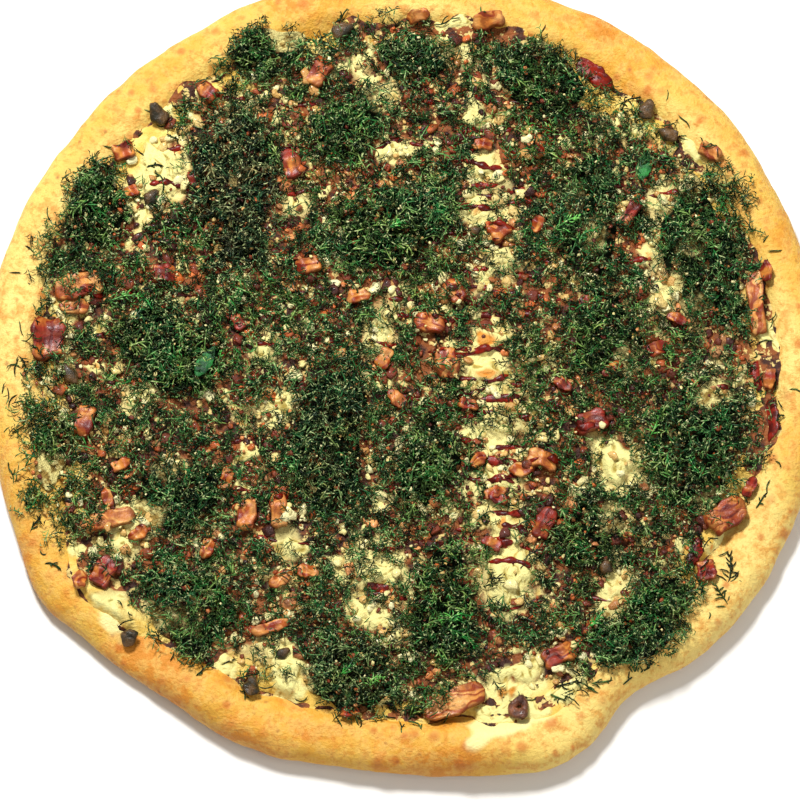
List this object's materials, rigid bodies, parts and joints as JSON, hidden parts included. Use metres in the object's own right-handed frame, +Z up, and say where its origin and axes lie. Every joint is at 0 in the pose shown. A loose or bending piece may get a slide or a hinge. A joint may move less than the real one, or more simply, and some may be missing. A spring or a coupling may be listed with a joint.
{
  "type": "bacon pizza",
  "caption": "Whole round pizza with a thin low-rimmed crust, melted cheese, bacon, mushroom, a dark sauce drizzle and a thick cover of dill.",
  "frame": {"origin": "middle of the whole pizza's box, on the flat underside of the crust", "axes": "+Z up out of the toppings, +X to the right and +Y away as the pizza is seen"},
  "size_m": [0.32, 0.3174, 0.0191],
  "materials": {
    "crust": "baked wheat crust, matt, golden with browned patches",
    "cheese": "melted cheese, softly glossy cream, browned spots",
    "bacon": "cooked bacon, greasy sheen, pink to orange-brown",
    "mushroom": "baked mushroom, moist dark brown",
    "leaf": "fresh green leaf, soft sheen",
    "dill": "chopped dill, dark green fine threads",
    "sauce": "thick dark red sauce, glossy"
  },
  "bodies": {
    "root": {"crust": "crust", "cheese": "cheese", "bacon_01": "bacon", "bacon_02": "bacon", "bacon_03": "bacon", "bacon_04": "bacon", "bacon_05": "bacon", "bacon_06": "bacon", "bacon_07": "bacon", "bacon_08": "bacon", "bacon_09": "bacon", "bacon_10": "bacon", "bacon_11": "bacon", "bacon_12": "bacon", "bacon_13": "bacon", "bacon_14": "bacon", "bacon_15": "bacon", "bacon_16": "bacon", "bacon_17": "bacon", "bacon_18": "bacon", "bacon_19": "bacon", "bacon_20": "bacon", "bacon_21": "bacon", "bacon_22": "bacon", "bacon_23": "bacon", "bacon_24": "bacon", "bacon_25": "bacon", "bacon_26": "bacon", "bacon_27": "bacon", "bacon_28": "bacon", "bacon_29": "bacon", "mushroom_01": "mushroom", "mushroom_02": "mushroom", "mushroom_03": "mushroom", "mushroom_04": "mushroom", "mushroom_05": "mushroom", "mushroom_06": "mushroom", "leaf_01": "leaf", "leaf_02": "leaf", "dill_01": "dill", "dill_02": "dill", "dill_03": "dill", "dill_04": "dill", "dill_05": "dill", "dill_06": "dill", "dill_07": "dill", "dill_08": "dill", "dill_09": "dill", "dill_10": "dill", "dill_11": "dill", "dill_12": "dill", "dill_13": "dill", "dill_14": "dill", "dill_15": "dill", "dill_16": "dill", "dill_17": "dill", "dill_18": "dill", "dill_19": "dill", "dill_20": "dill", "dill_21": "dill"}
  },
  "joints": []
}
